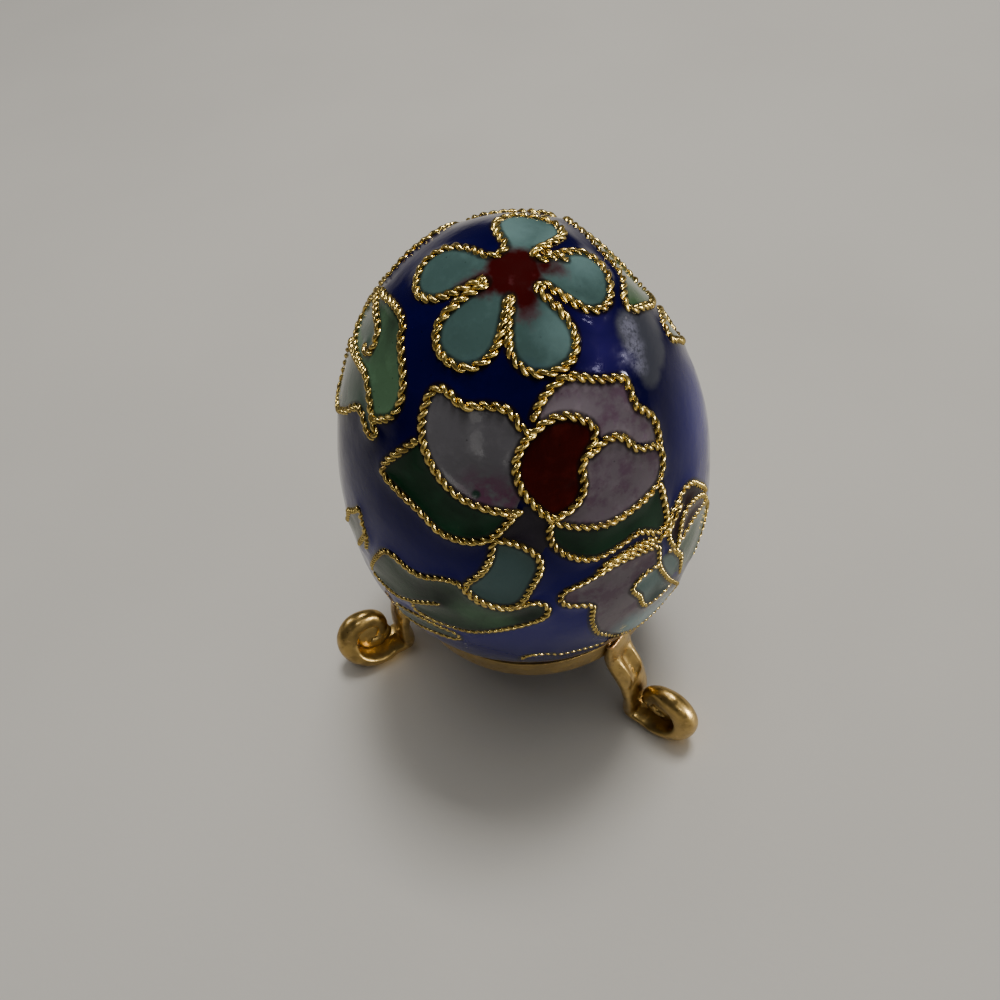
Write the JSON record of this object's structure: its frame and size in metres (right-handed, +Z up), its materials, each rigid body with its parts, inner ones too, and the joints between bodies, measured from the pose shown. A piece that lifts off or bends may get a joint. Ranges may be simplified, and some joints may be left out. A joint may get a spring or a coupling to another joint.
{
  "type": "cloisonne egg",
  "caption": "Small enamelled cloisonne egg with raised gilt wire flowers and leaves on deep blue, resting upright in a brass ring stand on scroll-footed legs.",
  "frame": {"origin": "centre of the bounding box at the level the feet stand on", "axes": "+Z up along the egg's long axis, -Y towards the front of the pattern with the large flower, +X to its right"},
  "size_m": [0.0306, 0.0314, 0.0406],
  "materials": {
    "cobalt_enamel": "glossy",
    "gilt_wire": "polished, twisted wire",
    "ring_brass": "satin, tarnished at the joints",
    "leg_brass": "cast, softly polished"
  },
  "bodies": {
    "root": {"egg": "cobalt_enamel", "stand_ring": "ring_brass", "leg_front_right": "leg_brass", "leg_back": "leg_brass", "leg_left": "leg_brass"}
  },
  "joints": []
}
